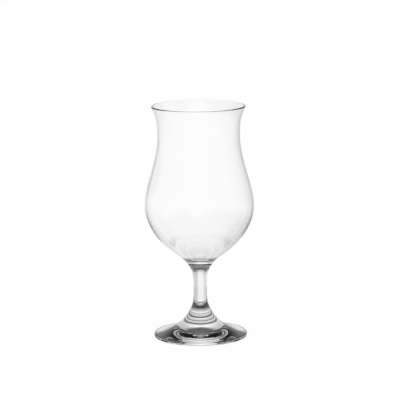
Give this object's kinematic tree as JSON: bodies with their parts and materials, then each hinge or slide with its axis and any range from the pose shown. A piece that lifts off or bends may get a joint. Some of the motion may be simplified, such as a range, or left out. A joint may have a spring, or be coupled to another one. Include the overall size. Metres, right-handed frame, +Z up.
{
  "type": "hurricane glass",
  "caption": "Clear footed drinking glass with a flared rim, drawn-in waist and full belly on a short solid stem and a round foot, for mixed drinks.",
  "frame": {"origin": "centre of the foot's standing ring, on the table", "axes": "+Z up along the axis of the glass, +X to the right in the picture, +Y away from the viewer"},
  "size_m": [0.0816, 0.0816, 0.175],
  "materials": {
    "clear_glass": "clear soda-lime glass, fire polished, with faint ripples from blowing and pressing"
  },
  "bodies": {
    "root": {"bowl": "clear_glass", "stem": "clear_glass", "foot": "clear_glass"}
  },
  "joints": []
}
